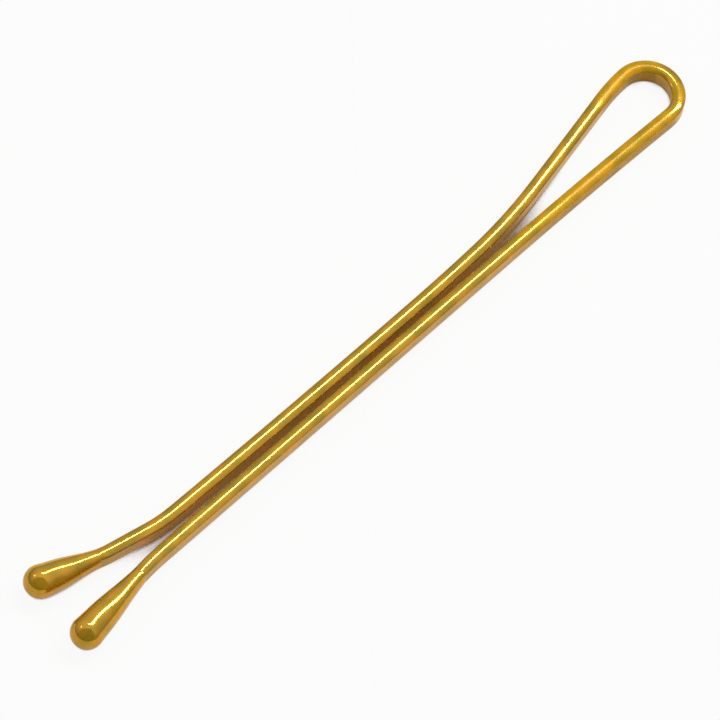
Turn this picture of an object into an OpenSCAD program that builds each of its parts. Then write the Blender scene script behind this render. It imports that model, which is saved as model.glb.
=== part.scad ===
// Bobby pin with smooth prongs: one flat spring wire bent round a loop, and a moulded bead on each end.
// The pin lies on its side: +X towards the loop, +Y towards the sprung prong, +Z across the wire.
// The wire is drawn in four stretches that meet face to face at the three places where it flexes most.

/* [Size] */
// Length over all, from the outside of the loop to the far end of the straight prong's bead
overall_length = 50.8; // [44:0.2:60]
// How far the sprung prong's bead stops short of the straight prong's bead
tip_stagger = 0.45; // [0:0.05:1]

/* [Wire] */
// Thickness of the wire, between its two broad faces
wire_thick = 0.78; // [0.66:0.02:0.82]
// Width of the wire, over its two domed edges
wire_width = 1.18; // [1.1:0.02:1.36]
// Height of the dome on each narrow edge of the wire
edge_dome = 0.14; // [0.12:0.01:0.2]

/* [Loop] */
// Inside diameter of the round loop
eye_diameter = 2.74; // [2.4:0.02:3.4]
// Radius of the shoulder, where the loop eases into the sprung prong
shoulder_radius = 12.6; // [10:0.2:16]
// Turn of the shoulder, in degrees
shoulder_turn = 9.5; // [8.5:0.1:11]

/* [Sprung prong] */
// Slope at which the run leaves the shoulder, in degrees
sprung_slope = 11.1; // [10.1:0.1:12.1]
// How much the run between the shoulder and the heel flattens on its way, in degrees
run_turn = 0.4; // [0.2:0.1:1]
// Radius of the heel, where the sprung prong turns to lie along the straight one
heel_radius = 36.5; // [30:0.5:39]
// Last degrees of that turn, which the wire makes more gently
ease_turn = 2; // [1:0.1:3]
// Radius of the gentle end of the turn
ease_radius = 140; // [100:5:200]
// Least gap between the two prongs at rest
prong_gap = 0.3; // [0.24:0.02:0.6]
// Outward bow of the sprung prong's grip, in degrees
grip_bow = 1.1; // [0.6:0.1:1.8]
// Bend that turns the sprung prong's end outwards, in degrees
sprung_flare = 10.8; // [8:0.2:16]
// Radius of that bend
sprung_flare_radius = 10; // [6:0.5:14]
// Run of wire between that bend and the neck bend
sprung_flare_run = 2.5; // [1.6:0.1:3.2]
// Second small bend at the neck of the bead, in degrees
neck_turn = 7.4; // [4:0.1:9]
// Radius of the neck bend
neck_radius = 6; // [4:0.5:8]

/* [Straight prong] */
// Slight bow of the prong between the loop and its straight grip, in degrees
straight_bow = 1.8; // [1.4:0.1:2.4]
// How far the bow runs on past the place where the prong flexes
bow_past_flex = 3.6; // [1:0.2:5]
// Bend that turns the straight prong's end outwards, in degrees
straight_flare = 5.9; // [4:0.1:9]
// Radius of that bend
straight_flare_radius = 20; // [12:0.5:26]

/* [Beads] */
// Diameter of the ball at the end of each bead
ball_diameter = 1.94; // [1.8:0.02:2.2]
// Distance from the mouth of the sprung prong's bead to the centre of its ball
sprung_bead_reach = 3.6; // [3.4:0.05:4.6]
// The same distance on the straight prong's bead, which is dipped a little deeper
straight_bead_reach = 4.75; // [4:0.05:5]
// Depth of the wire inside a bead
socket_depth = 3; // [2:0.1:3.2]
// Cover of the bead over the wire's broad faces, at the mouth
face_cover = 0.05; // [0.04:0.01:0.1]
// Cover of the bead over the wire's domed edges, at the mouth
edge_cover = 0.05; // [0.05:0.01:0.1]
// Bevel round the lip of the mouth
lip_bevel = 0.02; // [0.01:0.005:0.03]
// Clearance between the wire and the walls of its socket
socket_fit = 0.01; // [0.01:0.005:0.02]

/* [Hidden] */

wire_colour = "goldenrod";
bead_colour = "darkgoldenrod";
round_steps = 96;
// Steps along an arc, so that a shallow one is still drawn smooth
arc_steps = 24;
// Turn of a run that slopes and looks straight
slight_turn = 0.1;
core_length = 0.2;
ball_radius = ball_diameter / 2;
loop_radius = eye_diameter / 2 + wire_thick / 2;

// A stretch of wire is an arc, [radius, turn to the left in degrees], or [length, 0] if it is straight.
// Only a stretch along the X axis is straight, so radii and headings have few decimals and all ends meet.
function arc_over(length, turn) = [length * 180 / PI / abs(turn), turn];
function rounded(stretch) = [round(stretch[0] * 10) / 10, round(stretch[1] * 1000) / 1000];
function step_of(stretch, heading) =
    let (end = heading + stretch[1])
    stretch[1] == 0
        ? stretch[0] * [cos(heading), sin(heading)]
        : sign(stretch[1]) * stretch[0] * [sin(end) - sin(heading), cos(heading) - cos(end)];
// Both halves start at the crown of the loop and leave it square to the pin's length
function heading_at(route, i) = i == 0 ? 90 : heading_at(route, i - 1) + route[i - 1][1];
function place_at(route, i) =
    i == 0
        ? [loop_radius, 0]
        : place_at(route, i - 1) + step_of(route[i - 1], heading_at(route, i - 1));

// Sprung half: the loop and the shoulder, and then the two arcs of the heel
sprung_start = [[loop_radius, 90 + sprung_slope - shoulder_turn], [shoulder_radius, shoulder_turn]];
heel_slope = sprung_slope - run_turn;
heel = [[heel_radius, ease_turn - heel_slope], [ease_radius, -ease_turn]];
shoulder_end = place_at(sprung_start, 2);
shoulder_length = shoulder_radius * shoulder_turn * PI / 180;
heel_rise = step_of(heel[0], 180 + heel_slope)[1] + step_of(heel[1], 180 + ease_turn)[1];

// The run is as long as it takes to bring the heel down to the gap, while the straight prong
// bows towards it
run_rise = step_of(arc_over(1, -run_turn), 180 + sprung_slope)[1];
bow_rise = step_of(arc_over(1, -straight_bow), 180 + straight_bow)[1];
level_spare = shoulder_end[1] + heel_rise + loop_radius * cos(straight_bow)
    + (shoulder_length + bow_past_flex) * bow_rise - wire_thick - prong_gap;
run_length = -level_spare / (run_rise + bow_rise);
flex_reach = shoulder_length + run_length;
bow_length = flex_reach + bow_past_flex;

// Beads: both ball centres are set from the overall length
straight_ball_x = loop_radius + wire_thick / 2 - overall_length + ball_radius;
sprung_ball_x = straight_ball_x + tip_stagger;
in_socket = rounded(arc_over(socket_depth, -slight_turn));

// Straight half, mirrored: the grip's length is what the overall length leaves
bow = rounded(arc_over(bow_length, -straight_bow));
bow_to_flex = rounded([bow[0], -straight_bow * flex_reach / bow_length]);
straight_start = [[loop_radius, 90 + straight_bow], bow_to_flex,
    [bow[0], -straight_bow - bow_to_flex[1]]];
straight_bend = [straight_flare_radius, -straight_flare];
straight_end_x = step_of(straight_bend, 180)[0]
    + step_of([straight_bead_reach, 0], 180 - straight_flare)[0];
grip_length = place_at(straight_start, 3)[0] + straight_end_x - straight_ball_x;
STRAIGHT = concat(straight_start, [[round(grip_length * 1000) / 1000, 0], straight_bend, in_socket]);

// Sprung half: the bowed grip takes up the length in the same way
flare_start = 180 - grip_bow;
flare_end = flare_start - sprung_flare;
neck_start = flare_end - slight_turn;
neck_end = neck_start - neck_turn;
flare = [sprung_flare_radius, -sprung_flare];
flare_run = rounded(arc_over(sprung_flare_run, -slight_turn));
neck = [neck_radius, -neck_turn];
sprung_end_x = step_of(flare, flare_start)[0] + step_of(flare_run, flare_end)[0]
    + step_of(neck, neck_start)[0] + step_of([sprung_bead_reach, 0], neck_end)[0];
sprung_before = concat(sprung_start, [rounded(arc_over(run_length, -run_turn))], heel);
bowed_share = -step_of(arc_over(1, -grip_bow), 180)[0];
bowed_length = (place_at(sprung_before, 5)[0] + sprung_end_x - sprung_ball_x) / bowed_share;
SPRUNG = concat(sprung_before, [rounded(arc_over(bowed_length, -grip_bow)), flare, flare_run, neck,
    in_socket]);

// The origin is below the middle of the pin's box, at the level of the beads' undersides
function box_side(route, bead_reach) =
    let (last = len(route) - 1)
    let (ball = place_at(route, last) + step_of([bead_reach, 0], heading_at(route, last)))
    max(ball[1] + ball_radius, loop_radius + wire_thick / 2);
centre_x = loop_radius + wire_thick / 2 - overall_length / 2;
centre_y = (box_side(SPRUNG, sprung_bead_reach) - box_side(STRAIGHT, straight_bead_reach)) / 2;

module in_frame() {
    translate([-centre_x, -centre_y, ball_radius]) children();
}

// Section of the wire: flat walls and domed edges, which a socket takes a little larger
module wire_section(grow = 0) {
    half = wire_thick / 2 + grow;
    top = wire_width / 2 + grow;
    wall = wire_width / 2 - edge_dome;
    rise = top - wall;
    dome = (half * half + rise * rise) / (2 * rise);
    square([2 * half, 2 * wall], center = true);
    for (side = [0, 1]) mirror([0, side]) intersection() {
        translate([0, top - dome]) circle(dome, $fn = round_steps);
        translate([-half, wall]) square([2 * half, rise]);
    }
}

// A straight bar of the wire, along +X from the origin
module bar(length, grow = 0) {
    rotate([90, 0, 90]) linear_extrude(length) wire_section(grow);
}

// Moves to a point in a coarse and a fine step, which together keep more decimals than one
module move_to(point) {
    coarse = [round(point[0] * 100) / 100, round(point[1] * 100) / 100];
    translate(coarse) translate(point - coarse) children();
}

// One stretch of a route, in its place
module stretch(route, i) {
    size = route[i][0];
    turn = route[i][1];
    heading = heading_at(route, i);
    if (turn == 0) {
        move_to(place_at(route, i)) rotate(heading) bar(size);
    } else {
        towards_centre = sign(turn) * [-sin(heading), cos(heading)];
        first_angle = heading - sign(turn) * 90 + min(turn, 0);
        move_to(place_at(route, i) + size * towards_centre)
            rotate_extrude(angle = abs(turn), start = first_angle,
                $fn = ceil(arc_steps * 360 / abs(turn))) translate([size, 0]) wire_section();
    }
}

// Stretches in a row, with a small core inside each place where two of them meet
module wire(route, first, last) {
    for (i = [first:last]) stretch(route, i);
    for (i = [first + 1:1:last])
        translate(place_at(route, i)) rotate(heading_at(route, i))
            cube([core_length, wire_thick / 2, wire_width / 2], center = true);
}

// Half of a teardrop, along +Y from its mouth: a straight taper that runs into the ball at a tangent
module half_drop(mouth_half, bead_reach) {
    reach = norm([bead_reach, mouth_half]);
    taper = asin(ball_radius / reach) - atan2(mouth_half, bead_reach);
    tangent = sqrt(reach * reach - ball_radius * ball_radius);
    polygon([
        [0, 0],
        [mouth_half - lip_bevel, 0],
        [mouth_half, lip_bevel],
        [mouth_half + tangent * sin(taper), tangent * cos(taper)],
        [0, bead_reach]
    ]);
    intersection() {
        translate([0, bead_reach]) circle(ball_radius, $fn = round_steps);
        translate([0, bead_reach - ball_radius]) square([ball_radius, 2 * ball_radius]);
    }
}

// A bead from its mouth along +X: a round drop, drawn in at the sides near the mouth to suit the flat wire
module bead(bead_reach) {
    difference() {
        intersection() {
            rotate([0, 90, 0]) rotate_extrude($fn = round_steps)
                half_drop(wire_width / 2 + edge_cover, bead_reach);
            rotate(-90) linear_extrude(4 * ball_radius, center = true) for (side = [0, 1])
                mirror([side, 0]) half_drop(wire_thick / 2 + face_cover, bead_reach);
        }
        bar(socket_depth + socket_fit, socket_fit);
    }
}

module at_mouth(route) {
    last = len(route) - 1;
    translate(place_at(route, last)) rotate(heading_at(route, last)) children();
}

module straight_half() {
    mirror([0, 1, 0]) children();
}

module straight_prong() {
    color(wire_colour) in_frame() straight_half() wire(STRAIGHT, 2, 5);
}

module loop_straight_side() {
    color(wire_colour) in_frame() straight_half() wire(STRAIGHT, 0, 1);
}

module loop_sprung_side() {
    color(wire_colour) in_frame() wire(SPRUNG, 0, 2);
}

module sprung_prong() {
    color(wire_colour) in_frame() wire(SPRUNG, 3, 9);
}

module straight_tip() {
    color(bead_colour) in_frame() straight_half() at_mouth(STRAIGHT) bead(straight_bead_reach);
}

module sprung_tip() {
    color(bead_colour) in_frame() at_mouth(SPRUNG) bead(sprung_bead_reach);
}

straight_prong();
loop_straight_side();
loop_sprung_side();
sprung_prong();
straight_tip();
sprung_tip();
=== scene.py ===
# Bobby pin of lacquered spring wire, lying on a pale floor. Sizes are in millimetres until a mesh is made.
import math

import bpy
from mathutils import Matrix, Vector


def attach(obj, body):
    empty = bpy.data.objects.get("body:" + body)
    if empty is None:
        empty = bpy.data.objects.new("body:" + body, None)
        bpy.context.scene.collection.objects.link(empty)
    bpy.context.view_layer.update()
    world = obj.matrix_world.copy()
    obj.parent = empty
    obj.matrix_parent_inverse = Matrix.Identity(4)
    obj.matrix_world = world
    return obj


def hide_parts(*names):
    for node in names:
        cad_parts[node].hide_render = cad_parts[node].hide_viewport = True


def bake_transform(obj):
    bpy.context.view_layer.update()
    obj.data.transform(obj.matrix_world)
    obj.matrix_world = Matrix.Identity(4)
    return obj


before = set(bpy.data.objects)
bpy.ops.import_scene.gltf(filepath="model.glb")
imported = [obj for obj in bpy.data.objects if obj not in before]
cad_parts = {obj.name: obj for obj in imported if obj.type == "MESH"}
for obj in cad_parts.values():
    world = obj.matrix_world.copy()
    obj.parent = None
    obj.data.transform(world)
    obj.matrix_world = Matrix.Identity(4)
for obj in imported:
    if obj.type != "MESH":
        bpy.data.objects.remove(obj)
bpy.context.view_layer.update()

MM = 0.001

# Sizes of the pin, the same as the part's own
OVERALL_LENGTH = 50.8
TIP_STAGGER = 0.45
WIRE_THICK = 0.78
WIRE_WIDTH = 1.18
EDGE_DOME = 0.14
EYE_DIAMETER = 2.74
SHOULDER_RADIUS = 12.6
SHOULDER_TURN = 9.5
SPRUNG_SLOPE = 11.1
RUN_TURN = 0.4
HEEL_RADIUS = 36.5
EASE_TURN = 2.0
EASE_RADIUS = 140.0
PRONG_GAP = 0.3
GRIP_BOW = 1.1
SPRUNG_FLARE = 10.8
SPRUNG_FLARE_RADIUS = 10.0
SPRUNG_FLARE_RUN = 2.5
NECK_TURN = 7.4
NECK_RADIUS = 6.0
STRAIGHT_BOW = 1.8
BOW_PAST_FLEX = 3.6
STRAIGHT_FLARE = 5.9
STRAIGHT_FLARE_RADIUS = 20.0
BALL_DIAMETER = 1.94
SPRUNG_BEAD_REACH = 3.6
STRAIGHT_BEAD_REACH = 4.75
SOCKET_DEPTH = 3.0
FACE_COVER = 0.05
EDGE_COVER = 0.05
SOCKET_FIT = 0.01
SLIGHT_TURN = 0.1

LOOP_RADIUS = EYE_DIAMETER / 2 + WIRE_THICK / 2
BALL_RADIUS = BALL_DIAMETER / 2

# Finish of the surfaces
CORNER_RADIUS = 0.12
LIP_RADIUS = 0.035
MOUTH_SQUARENESS = 2.7
BEAD_SWELL = 0.1
SWELL_TURNS_AT = 0.25
LONGEST_STEP = 0.5
LARGEST_TURN = 3.0
SEAM_STEP = 0.01
MOUTH_INSET = 0.02
LIP_STEP = 15
BEAD_STEPS = 40
NOSE_STEPS = 20
NOSE_TIP = 1.5
CORNER_STEPS = 5
DOME_STEPS = 10
WALL_STEPS = 5

# Camera: turns of the view in degrees, and the point it looks at, from the centre of the loop
LENS = 1400.0
CAMERA_DISTANCE = 1558.79
CAMERA_AZIMUTH = -57.194
CAMERA_ELEVATION = 59.198
CAMERA_ROLL = 12.146
CAMERA_ACROSS = -15.957
CAMERA_UP = -14.612
CAMERA_SENSOR = 36.0
CAMERA_CLIP = (0.05, 20.0)

# Lacquer: its colours run from olive over gold to warm
WIRE_COLOURS = ((0.49, 0.295, 0.007), (0.62, 0.335, 0.008), (0.76, 0.375, 0.010))
BEAD_COLOURS = ((0.54, 0.32, 0.008), (0.66, 0.355, 0.010), (0.78, 0.39, 0.012))
COLOUR_STOPS = (0.36, 0.5, 0.64)
WIRE_STREAKS = 0.06
BEAD_STREAKS = 0.04
SMOOTHEST = 0.09
ROUGHEST = 0.12
SPECULAR_TINT = (0.9, 0.65, 0.3, 1)
COAT_WEIGHT = 0.8
COAT_ROUGHNESS = 0.05
METAL_SHARE = 0.6
DULL_ROUGHNESS = 0.26
DULL_METAL_SHARE = 0.08
# Where bending has dulled the lacquer, in millimetres from the crown, the sprung side ahead of it:
# each stretch dulls between its first two places and shines again between its last two
DULL_STRETCHES = [(0.3, 1.0, 4.9, 5.8), (-1.9, -1.5, -1.0, -0.5), (-17.0, -10.0, -3.2, -2.5)]

# Noises over the wire: how each is stretched, its scale and its detail, and what most of it lies between
CLOUDS = ((0.7, 1.0, 1.0), 1.3, 3.0)
STREAKS = ((0.12, 1.0, 1.0), 7.0, 2.0)
GRAIN = ((1.0, 1.0, 1.0), 14.0, 3.0)
NOISE_RANGE = (0.3, 0.7)
BUMP_STRENGTH = 0.1
CLOUD_BUMP = 0.02
STREAK_BUMP = 0.004

# Floor: its half size in metres, and how far the camera and the metal see it as plain white
FLOOR_HALF = 3.0
FLOOR_WHITE_SHARE = 0.93
MIRRORED_WHITE_SHARE = 0.4
FLOOR_WHITE = (0.99, 0.99, 0.99)
CARD_COLOUR = (0.86, 0.86, 0.86, 1)
CARD_LIGHT = (0.9, 0.74, 0.4, 1)
# Painted shade: the floor's white is painted dark where the pin leaves less of the sky open to it than this,
# within this reach
SLOT_PAINTED_SHADE = (0.17, 0.08, 0.02)
SLOT_OPENNESS = (0.31, 0.4)
SLOT_REACH = 1.8
SLOT_SAMPLES = 32

# Tent of light: its brightness from the horizon up, and the room that shows through its opening
TENT_BRIGHTNESS = [(0.0, 0.16), (0.2, 0.3), (0.5, 0.5), (1.0, 0.8)]
ROOM_COLOUR = (0.24, 0.26, 0.16, 1)
OPENING_SOFTNESS = 0.06
# The sides of the opening: planes through the pin, each given by its normal into the opening
OPENING_SIDES = [(-0.447, -0.876, 0.184), (-0.988, -0.09, 0.122), (-0.738, -0.674, -0.035)]
# Metres from the pin to the soft boxes
LIGHT_DISTANCE = 0.6


# Stretches of the wire are (radius, turn to the left in degrees), or (length, 0) where it is straight
def arc_over(length, turn):
    return (math.degrees(length) / abs(turn), turn)


def rounded(stretch):
    return (round(stretch[0], 1), round(stretch[1], 3))


def direction(degrees):
    return Vector((math.cos(math.radians(degrees)), math.sin(math.radians(degrees))))


def step_of(stretch, heading):
    size, turn = stretch
    if turn == 0:
        return size * direction(heading)
    return math.copysign(size, turn) * (direction(heading + turn - 90) - direction(heading - 90))


def heading_at(route, i):
    return 90 + sum(turn for _, turn in route[:i])


def place_at(route, i):
    place = Vector((LOOP_RADIUS, 0))
    for k in range(i):
        place += step_of(route[k], heading_at(route, k))
    return place


def routes():
    """The straight half, drawn mirrored, and the sprung half, each from the crown to the end in its bead."""
    start = [(LOOP_RADIUS, 90 + SPRUNG_SLOPE - SHOULDER_TURN), (SHOULDER_RADIUS, SHOULDER_TURN)]
    heel_slope = SPRUNG_SLOPE - RUN_TURN
    heel = [(HEEL_RADIUS, EASE_TURN - heel_slope), (EASE_RADIUS, -EASE_TURN)]
    heel_rise = step_of(heel[0], 180 + heel_slope).y + step_of(heel[1], 180 + EASE_TURN).y
    shoulder_length = SHOULDER_RADIUS * math.radians(SHOULDER_TURN)
    run_rise = step_of(arc_over(1, -RUN_TURN), 180 + SPRUNG_SLOPE).y
    bow_rise = step_of(arc_over(1, -STRAIGHT_BOW), 180 + STRAIGHT_BOW).y
    level_spare = (place_at(start, 2).y + heel_rise + LOOP_RADIUS * math.cos(math.radians(STRAIGHT_BOW))
                   + (shoulder_length + BOW_PAST_FLEX) * bow_rise - WIRE_THICK - PRONG_GAP)
    run_length = -level_spare / (run_rise + bow_rise)
    flex_reach = shoulder_length + run_length
    bow_length = flex_reach + BOW_PAST_FLEX

    straight_ball_x = LOOP_RADIUS + WIRE_THICK / 2 - OVERALL_LENGTH + BALL_RADIUS
    sprung_ball_x = straight_ball_x + TIP_STAGGER
    in_socket = rounded(arc_over(SOCKET_DEPTH, -SLIGHT_TURN))

    bow = rounded(arc_over(bow_length, -STRAIGHT_BOW))
    straight = [(LOOP_RADIUS, 90 + STRAIGHT_BOW), bow]
    bend = (STRAIGHT_FLARE_RADIUS, -STRAIGHT_FLARE)
    end_x = step_of(bend, 180).x + step_of((STRAIGHT_BEAD_REACH, 0), 180 - STRAIGHT_FLARE).x
    grip_length = place_at(straight, 2).x + end_x - straight_ball_x
    straight += [(grip_length, 0), bend, in_socket]

    flare_start = 180 - GRIP_BOW
    flare_end = flare_start - SPRUNG_FLARE
    neck_start = flare_end - SLIGHT_TURN
    flare = (SPRUNG_FLARE_RADIUS, -SPRUNG_FLARE)
    flare_run = rounded(arc_over(SPRUNG_FLARE_RUN, -SLIGHT_TURN))
    neck = (NECK_RADIUS, -NECK_TURN)
    end_x = (step_of(flare, flare_start).x + step_of(flare_run, flare_end).x
             + step_of(neck, neck_start).x + step_of((SPRUNG_BEAD_REACH, 0), neck_start - NECK_TURN).x)
    sprung = start + [rounded(arc_over(run_length, -RUN_TURN))] + heel
    bowed_share = -step_of(arc_over(1, -GRIP_BOW), 180).x
    bowed_length = (place_at(sprung, 5).x + end_x - sprung_ball_x) / bowed_share
    sprung += [rounded(arc_over(bowed_length, -GRIP_BOW)), flare, flare_run, neck, in_socket]
    return straight, sprung


STRAIGHT, SPRUNG = routes()


def mouth_of(route):
    last = len(route) - 1
    return place_at(route, last), heading_at(route, last)


def box_side(route, bead_reach):
    place, heading = mouth_of(route)
    return max((place + bead_reach * direction(heading)).y + BALL_RADIUS, LOOP_RADIUS + WIRE_THICK / 2)


CENTRE = Vector((
    LOOP_RADIUS + WIRE_THICK / 2 - OVERALL_LENGTH / 2,
    (box_side(SPRUNG, SPRUNG_BEAD_REACH) - box_side(STRAIGHT, STRAIGHT_BEAD_REACH)) / 2,
    -BALL_RADIUS,
))


def in_frame(point, side=1):
    """A point of the layout, whose origin is the centre of the loop, in the frame's metres."""
    return (Vector((point[0], side * point[1], point[2])) - CENTRE) * MM


def stations(route, first, last):
    """Points along some stretches of a route: place, heading and distance from the crown."""
    out = []
    travelled = 0.0
    for i, (size, turn) in enumerate(route):
        length = size * math.radians(abs(turn)) if turn else size
        if first <= i <= last:
            steps = max(math.ceil(length / LONGEST_STEP), math.ceil(abs(turn) / LARGEST_TURN))
            cuts = [k / steps for k in range(steps + 1)]
            if i == first:
                cuts.insert(1, SEAM_STEP / length)
            if i == last:
                cuts.insert(-1, 1 - SEAM_STEP / length)
            if out:
                cuts.pop(0)
            for cut in cuts:
                place = place_at(route, i)
                if cut:
                    part = (size, turn * cut) if turn else (size * cut, 0)
                    place += step_of(part, heading_at(route, i))
                out.append((place, heading_at(route, i) + turn * cut, travelled + length * cut))
        travelled += length
    return out


def wire_section(grow=0.0):
    """Points round the section of the wire: flat walls, domed edges and soft corners between them."""
    half = WIRE_THICK / 2 + grow
    top = WIRE_WIDTH / 2 + grow
    wall = WIRE_WIDTH / 2 - EDGE_DOME
    rise = top - wall
    dome = (half * half + rise * rise) / (2 * rise)
    # The corner's circle touches the wall and, from inside, the circle of the dome
    reach = dome - CORNER_RADIUS
    corner_u = half - CORNER_RADIUS
    corner_w = top - dome + math.sqrt(reach * reach - corner_u * corner_u)
    dome_turn = math.asin(corner_u / reach)
    quarter = []
    for k in range(WALL_STEPS):
        quarter.append((half, corner_w * k / WALL_STEPS))
    for k in range(CORNER_STEPS):
        angle = (math.pi / 2 - dome_turn) * k / CORNER_STEPS
        quarter.append((corner_u + CORNER_RADIUS * math.cos(angle),
                        corner_w + CORNER_RADIUS * math.sin(angle)))
    for k in range(DOME_STEPS):
        angle = dome_turn * (1 - k / DOME_STEPS)
        quarter.append((dome * math.sin(angle), top - dome + dome * math.cos(angle)))
    return all_round(quarter + [(0.0, top)])


def all_round(quarter):
    """The whole ring from its first quarter, which runs from the +u side to the +w top."""
    half = quarter + [(-u, w) for u, w in reversed(quarter[:-1])]
    return half + [(-u, -w) for u, w in half[1:-1]]


def mesh_of(name, rings, marks):
    """A closed mesh over rings of points, each end closed by a face, with each point's place on the wire."""
    count = len(rings[0])
    points = [p for ring in rings for p in ring]
    faces = []
    for r in range(len(rings) - 1):
        for k in range(count):
            a, b = r * count + k, r * count + (k + 1) % count
            faces.append((a, b, b + count, a + count))
    faces.append(tuple(reversed(range(count))))
    faces.append(tuple((len(rings) - 1) * count + k for k in range(count)))
    mesh = bpy.data.meshes.new(name)
    mesh.from_pydata([tuple(p) for p in points], [], faces)
    mesh.validate()
    mesh.shade_smooth()
    for face in list(mesh.polygons)[-2:]:
        face.use_smooth = False
    place = mesh.attributes.new("wire_place", "FLOAT_VECTOR", "POINT")
    place.data.foreach_set("vector", [x for ring in marks for mark in ring for x in mark])
    return mesh


def faces_outwards(mesh):
    """Turns all faces over if the mesh is inside out."""
    volume = 0.0
    for face in mesh.polygons:
        corners = [mesh.vertices[i].co for i in face.vertices]
        for k in range(1, len(corners) - 1):
            volume += corners[0].dot(corners[k].cross(corners[k + 1]))
    if volume < 0:
        mesh.flip_normals()


def in_scene(name, data):
    made = bpy.data.objects.new(name, data)
    bpy.context.scene.collection.objects.link(made)
    return made


def turn_to(thing, across, upwards, back):
    """Turns an object so that its own axes point these three ways."""
    thing.rotation_mode = "QUATERNION"
    thing.rotation_quaternion = Matrix((across, upwards, back)).transposed().to_quaternion()


def add_piece(name, mesh, material):
    faces_outwards(mesh)
    mesh.materials.append(material)
    return in_scene(name, mesh)


def ring_at(place, heading, section, side):
    left = direction(heading + 90)
    return [in_frame((place.x + u * left.x, place.y + u * left.y, w), side) for u, w in section]


def swept(name, places, material):
    """The wire's section swept along stations, each (place, heading, along, side)."""
    section = wire_section()
    rings = []
    marks = []
    for place, heading, along, side in places:
        rings.append(ring_at(place, heading, section, side))
        marks.append([(along, side * u, w) for u, w in section])
    return add_piece(name, mesh_of(name, rings, marks), material)


def one_side(route, first, last, side):
    return [(place, heading, side * along, side) for place, heading, along in stations(route, first, last)]


def add_wire(material):
    """The wire in three pieces: the straight half, the sprung half and the loop that joins them."""
    straight = swept("wire_straight_half", one_side(STRAIGHT, 1, 4, -1), material)
    sprung = swept("wire_sprung_half", one_side(SPRUNG, 1, 9, 1), material)
    # The loop runs from the straight side over the crown, so its straight side is walked backwards
    there = [(p, h + 180, a, s) for p, h, a, s in reversed(one_side(STRAIGHT, 0, 0, -1))]
    crown = []
    for place, heading, along, side in there[:-1]:
        crown.append((Vector((place.x, -place.y)), -heading, along, 1))
    crown += one_side(SPRUNG, 0, 0, 1)
    loop = swept("wire_loop", crown, material)
    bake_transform(straight)
    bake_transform(sprung)
    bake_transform(loop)
    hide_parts("straight_prong")
    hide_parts("sprung_prong")
    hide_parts("loop_straight_side", "loop_sprung_side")


def taper_of(mouth_half, reach):
    """Half size of a teardrop at a distance from its mouth, and where its taper meets the ball."""
    slant = math.hypot(reach, mouth_half)
    tilt = math.asin(BALL_RADIUS / slant) - math.atan2(mouth_half, reach)
    meets = math.sqrt(slant * slant - BALL_RADIUS * BALL_RADIUS) * math.cos(tilt)

    def half_at(x):
        if x < meets:
            return mouth_half + x * math.tan(tilt) + fullness(x / meets)
        return math.sqrt(max(BALL_RADIUS ** 2 - (x - reach) ** 2, 0.0))
    return half_at, meets


def fullness(share):
    """How far a bead swells past a straight taper: a little drawn in at first, full near the ball."""
    return BEAD_SWELL * math.sin(math.pi * share) ** 2 * (share - SWELL_TURNS_AT) / (1 - SWELL_TURNS_AT)


def oval(thin, wide, squareness):
    """Points round a rounded oval, at the same angles as the points of the wire's section."""
    out = []
    for u, w in wire_section():
        angle = math.atan2(w / WIRE_WIDTH, u / WIRE_THICK)
        c, s = math.cos(angle), math.sin(angle)
        size = (abs(c) ** squareness + abs(s) ** squareness) ** (-1 / squareness)
        out.append((thin * size * c, wide * size * s))
    return out


def bead_rings(reach):
    """Sections of a bead as (distance from the mouth, points), from the bottom of its socket to its nose."""
    socket = wire_section(SOCKET_FIT)
    rings = [(SOCKET_DEPTH + SOCKET_FIT, socket), (SOCKET_DEPTH / 2, socket), (MOUTH_INSET, socket)]
    wide_at, meets = taper_of(WIRE_WIDTH / 2 + EDGE_COVER, reach)
    thin_at, _ = taper_of(WIRE_THICK / 2 + FACE_COVER, reach)
    lip = [LIP_RADIUS * (1 - math.cos(math.radians(a))) for a in range(0, 90, LIP_STEP)]
    cone = [LIP_RADIUS + (meets - LIP_RADIUS) * k / BEAD_STEPS for k in range(BEAD_STEPS)]
    start = math.acos((reach - meets) / BALL_RADIUS)
    turns = [start + (math.pi - start) * k / NOSE_STEPS for k in range(NOSE_STEPS)]
    nose = [reach - BALL_RADIUS * math.cos(turn) for turn in turns]
    nose.append(reach + BALL_RADIUS * math.cos(math.radians(NOSE_TIP)))
    for x in lip + cone + nose:
        rise = math.sqrt(1 - (1 - min(x / LIP_RADIUS, 1)) ** 2)
        thin = thin_at(x) - (FACE_COVER - SOCKET_FIT) * (1 - rise)
        wide = wide_at(x) - (EDGE_COVER - SOCKET_FIT) * (1 - rise)
        round_share = min(x / meets, 1.0)
        squareness = MOUTH_SQUARENESS + (2 - MOUTH_SQUARENESS) * math.sqrt(round_share)
        rings.append((x, oval(thin, wide, squareness)))
    return rings


def add_bead(name, route, reach, side, body, node, material):
    mouth, heading = mouth_of(route)
    ahead = direction(heading)
    rings = []
    marks = []
    for x, section in bead_rings(reach):
        rings.append(ring_at(mouth + x * ahead, heading, section, side))
        marks.append([(x, u, w) for u, w in section])
    bead = add_piece(name, mesh_of(name, rings, marks), material)
    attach(bead, body)
    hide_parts(node)


def plug(tree, value, socket):
    """Links another node's value to a socket, or sets a plain one on it."""
    if isinstance(value, bpy.types.NodeSocket):
        tree.links.new(value, socket)
    else:
        socket.default_value = value


def node(tree, kind, **sockets):
    made = tree.nodes.new(kind)
    for key, value in sockets.items():
        plug(tree, value, made.inputs[key.replace("_", " ")])
    return made


def maths(tree, operation, *values):
    made = tree.nodes.new("ShaderNodeMath")
    made.operation = operation
    for value, socket in zip(values, made.inputs):
        plug(tree, value, socket)
    return made.outputs["Value"]


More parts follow.
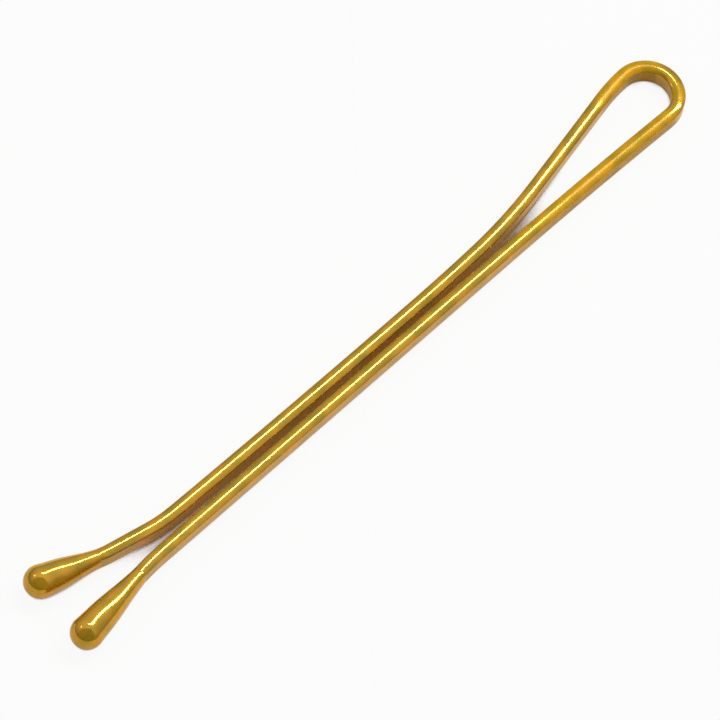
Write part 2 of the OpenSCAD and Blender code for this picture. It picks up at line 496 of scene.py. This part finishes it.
def stretched_noise(tree, place, stretch, scale, detail):
    """Noise over the wire's own coordinates in millimetres, stretched along it."""
    mapping = node(tree, "ShaderNodeMapping", Vector=place, Scale=stretch)
    noise = node(tree, "ShaderNodeTexNoise", Vector=mapping.outputs["Vector"], Scale=scale, Detail=detail)
    return noise.outputs["Fac"]


def ramp(tree, factor, stops):
    made = tree.nodes.new("ShaderNodeValToRGB")
    made.color_ramp.elements[0].position = stops[0][0]
    made.color_ramp.elements[0].color = (*stops[0][1], 1)
    made.color_ramp.elements[1].position = stops[-1][0]
    made.color_ramp.elements[1].color = (*stops[-1][1], 1)
    for position, colour in stops[1:-1]:
        made.color_ramp.elements.new(position).color = (*colour, 1)
    tree.links.new(factor, made.inputs["Fac"])
    return made.outputs["Color"]


def spread(tree, factor, low, high):
    """A noise stretched to a range of plain numbers."""
    least, most = NOISE_RANGE
    made = node(tree, "ShaderNodeMapRange", Value=factor,
                From_Min=least, From_Max=most, To_Min=low, To_Max=high)
    return made.outputs["Result"]


def multiply(tree, colour, factor):
    made = tree.nodes.new("ShaderNodeVectorMath")
    made.operation = "SCALE"
    tree.links.new(colour, made.inputs[0])
    tree.links.new(factor, made.inputs["Scale"])
    return made.outputs["Vector"]


def smooth_between(tree, value, first, last):
    """0 to 1 as a value goes from first to last."""
    made = node(tree, "ShaderNodeMapRange", Value=value, From_Min=first, From_Max=last)
    made.interpolation_type = "SMOOTHSTEP"
    return made.outputs["Result"]


def worn_at_bends(tree, place):
    """1 where bending has dulled the lacquer, 0 elsewhere."""
    along = node(tree, "ShaderNodeSeparateXYZ", Vector=place).outputs["X"]
    total = None
    for first, full, still_full, last in DULL_STRETCHES:
        rising = smooth_between(tree, along, first, full)
        falling = smooth_between(tree, along, last, still_full)
        dull = maths(tree, "MULTIPLY", rising, falling)
        total = maths(tree, "MAXIMUM", total, dull) if total else dull
    return total


def between(tree, share, plain, worn):
    """A number that goes from its plain value to its worn one."""
    return node(tree, "ShaderNodeMapRange", Value=share, To_Min=plain, To_Max=worn).outputs["Result"]


def lacquer(name, colours, streak_depth, bent):
    """Amber lacquer over bright metal: cloudy in colour, drawn into faint streaks, dull where it is bent."""
    material = bpy.data.materials.new(name)
    material.use_nodes = True
    tree = material.node_tree
    shader = tree.nodes["Principled BSDF"]
    attribute = tree.nodes.new("ShaderNodeAttribute")
    attribute.attribute_name = "wire_place"
    place = attribute.outputs["Vector"]
    clouds = stretched_noise(tree, place, *CLOUDS)
    streaks = stretched_noise(tree, place, *STREAKS)
    grain = stretched_noise(tree, place, *GRAIN)
    colour = ramp(tree, clouds, list(zip(COLOUR_STOPS, colours)))
    streaked = multiply(tree, colour, spread(tree, streaks, 1 - streak_depth, 1 + streak_depth))
    tree.links.new(streaked, shader.inputs["Base Color"])
    rough = spread(tree, grain, SMOOTHEST, ROUGHEST)
    shader.inputs["Metallic"].default_value = METAL_SHARE
    shader.inputs["Coat Weight"].default_value = COAT_WEIGHT
    if bent:
        dull = worn_at_bends(tree, place)
        rough = between(tree, dull, rough, DULL_ROUGHNESS)
        tree.links.new(between(tree, dull, METAL_SHARE, DULL_METAL_SHARE), shader.inputs["Metallic"])
        tree.links.new(between(tree, dull, COAT_WEIGHT, 0.0), shader.inputs["Coat Weight"])
    tree.links.new(rough, shader.inputs["Roughness"])
    bump = node(tree, "ShaderNodeBump", Strength=BUMP_STRENGTH, Distance=CLOUD_BUMP * MM, Height=clouds)
    fine = node(tree, "ShaderNodeBump", Strength=BUMP_STRENGTH, Distance=STREAK_BUMP * MM, Height=streaks,
                Normal=bump.outputs["Normal"])
    tree.links.new(fine.outputs["Normal"], shader.inputs["Normal"])
    shader.inputs["Specular Tint"].default_value = SPECULAR_TINT
    shader.inputs["Coat Roughness"].default_value = COAT_ROUGHNESS
    return material


def floor_material():
    """Card that throws a warm light back, and that the camera sees as white with the pin's shadow and with
    painted shade.
    """
    material = bpy.data.materials.new("floor_card")
    material.use_nodes = True
    tree = material.node_tree
    tree.nodes.clear()
    path = tree.nodes.new("ShaderNodeLightPath")
    colour = node(tree, "ShaderNodeMixRGB", Fac=path.outputs["Is Camera Ray"],
                  Color1=CARD_LIGHT, Color2=CARD_COLOUR)
    card = node(tree, "ShaderNodeBsdfDiffuse", Color=colour.outputs["Color"])
    # Painted shade: where the pin shuts the card in, as in the slot between the prongs, its white is painted
    # dark
    open_sky = node(tree, "ShaderNodeAmbientOcclusion", Distance=SLOT_REACH * MM)
    open_sky.samples = SLOT_SAMPLES
    white_with_painted_shade = ramp(tree, open_sky.outputs["AO"], list(zip(SLOT_OPENNESS, (SLOT_PAINTED_SHADE, FLOOR_WHITE))))
    white = node(tree, "ShaderNodeEmission", Strength=1.0, Color=white_with_painted_shade)
    # The metal mirrors only a share of the white that the camera sees
    camera_share = maths(tree, "MULTIPLY", path.outputs["Is Camera Ray"], FLOOR_WHITE_SHARE)
    share = maths(tree, "MULTIPLY_ADD", path.outputs["Is Glossy Ray"], MIRRORED_WHITE_SHARE, camera_share)
    mix = node(tree, "ShaderNodeMixShader", Fac=share)
    tree.links.new(card.outputs["BSDF"], mix.inputs[1])
    tree.links.new(white.outputs["Emission"], mix.inputs[2])
    output = tree.nodes.new("ShaderNodeOutputMaterial")
    tree.links.new(mix.outputs["Shader"], output.inputs["Surface"])
    return material


def add_floor():
    """The pin rests on both balls and the lower edge of the loop, so the floor leans a little along it."""
    ball_x = -OVERALL_LENGTH / 2 + BALL_RADIUS
    loop_x = OVERALL_LENGTH / 2 - WIRE_THICK / 2
    lean = (BALL_RADIUS - WIRE_WIDTH / 2) / (loop_x - ball_x)
    low = -lean * ball_x * MM
    signs = ((-1, -1), (1, -1), (1, 1), (-1, 1))
    corners = [(x * FLOOR_HALF, y * FLOOR_HALF, low + lean * x * FLOOR_HALF) for x, y in signs]
    mesh = bpy.data.meshes.new("floor")
    mesh.from_pydata(corners, [], [(0, 1, 2, 3)])
    mesh.materials.append(floor_material())
    in_scene("floor", mesh)


def camera_axes():
    azimuth, elevation, roll = (math.radians(a) for a in (CAMERA_AZIMUTH, CAMERA_ELEVATION, CAMERA_ROLL))
    right = Vector((math.cos(azimuth), math.sin(azimuth), 0))
    away = Vector((-math.sin(azimuth), math.cos(azimuth), 0))
    up = Vector((0, 0, math.cos(elevation))) + away * math.sin(elevation)
    across = right * math.cos(roll) + up * math.sin(roll)
    upwards = up * math.cos(roll) - right * math.sin(roll)
    return across, upwards, across.cross(upwards)


def add_camera():
    across, upwards, back = camera_axes()
    data = bpy.data.cameras.new("camera")
    data.lens = LENS
    data.sensor_width = CAMERA_SENSOR
    data.clip_start, data.clip_end = CAMERA_CLIP
    camera = in_scene("camera", data)
    camera.location = in_frame(across * CAMERA_ACROSS + upwards * CAMERA_UP + back * CAMERA_DISTANCE)
    turn_to(camera, across, upwards, back)
    bpy.context.scene.camera = camera


def add_light(name, one_end, other_end, width, brightness):
    """A soft box between two directions from the pin. Its brightness is what a mirror of it would show."""
    ends = [Vector(end).normalized() for end in (one_end, other_end)]
    away = (ends[0] + ends[1]).normalized()
    length = 2 * LIGHT_DISTANCE * math.tan(ends[0].angle(ends[1]) / 2)
    data = bpy.data.lights.new(name, "AREA")
    data.shape = "RECTANGLE"
    data.size = width
    data.size_y = length
    data.energy = brightness * math.pi * width * length
    light = in_scene(name, data)
    light.location = away * LIGHT_DISTANCE
    lengthwise = (ends[1] - ends[0]).normalized()
    turn_to(light, lengthwise.cross(away), lengthwise, away)


def inside(tree, direction_seen, normal):
    """0 to 1 across the plane through the pin that is square to a normal."""
    dot = tree.nodes.new("ShaderNodeVectorMath")
    dot.operation = "DOT_PRODUCT"
    dot.inputs[1].default_value = normal
    tree.links.new(direction_seen, dot.inputs[0])
    return smooth_between(tree, dot.outputs["Value"], -OPENING_SOFTNESS, OPENING_SOFTNESS)


def add_world():
    """A pale tent, dim at the horizon, with the dark of the room where it is left open."""
    world = bpy.data.worlds.new("tent")
    bpy.context.scene.world = world
    world.use_nodes = True
    tree = world.node_tree
    background = tree.nodes["Background"]
    where = tree.nodes.new("ShaderNodeTexCoord").outputs["Generated"]
    height = node(tree, "ShaderNodeSeparateXYZ", Vector=where).outputs["Z"]
    tent = ramp(tree, height, [(place, (grey, grey, grey)) for place, grey in TENT_BRIGHTNESS])
    opening = None
    for normal in OPENING_SIDES:
        side = inside(tree, where, normal)
        opening = maths(tree, "MULTIPLY", opening, side) if opening else side
    room = node(tree, "ShaderNodeMixRGB", Fac=opening, Color1=tent, Color2=ROOM_COLOUR)
    tree.links.new(room.outputs["Color"], background.inputs["Color"])
    white = node(tree, "ShaderNodeBackground", Color=(1, 1, 1, 1), Strength=1.0)
    path = tree.nodes.new("ShaderNodeLightPath")
    mix = node(tree, "ShaderNodeMixShader", Fac=path.outputs["Is Camera Ray"])
    tree.links.new(background.outputs["Background"], mix.inputs[1])
    tree.links.new(white.outputs["Background"], mix.inputs[2])
    tree.links.new(mix.outputs["Shader"], tree.nodes["World Output"].inputs["Surface"])


wire_lacquer = lacquer("wire_lacquer", WIRE_COLOURS, WIRE_STREAKS, bent=True)
bead_lacquer = lacquer("bead_lacquer", BEAD_COLOURS, BEAD_STREAKS, bent=False)
add_wire(wire_lacquer)
add_bead("bead_straight", STRAIGHT, STRAIGHT_BEAD_REACH, -1, "straight_prong", "straight_tip", bead_lacquer)
add_bead("bead_sprung", SPRUNG, SPRUNG_BEAD_REACH, 1, "sprung_prong", "sprung_tip", bead_lacquer)
add_floor()
add_camera()
add_light("main_box", (0.34, 0.30, 0.89), (0.68, -0.30, 0.67), width=0.042, brightness=28.0)
add_light("small_box", (-0.24, 0.66, 0.71), (-0.39, 0.60, 0.71), width=0.09, brightness=3.0)
add_world()
bpy.context.scene.view_settings.view_transform = "Standard"
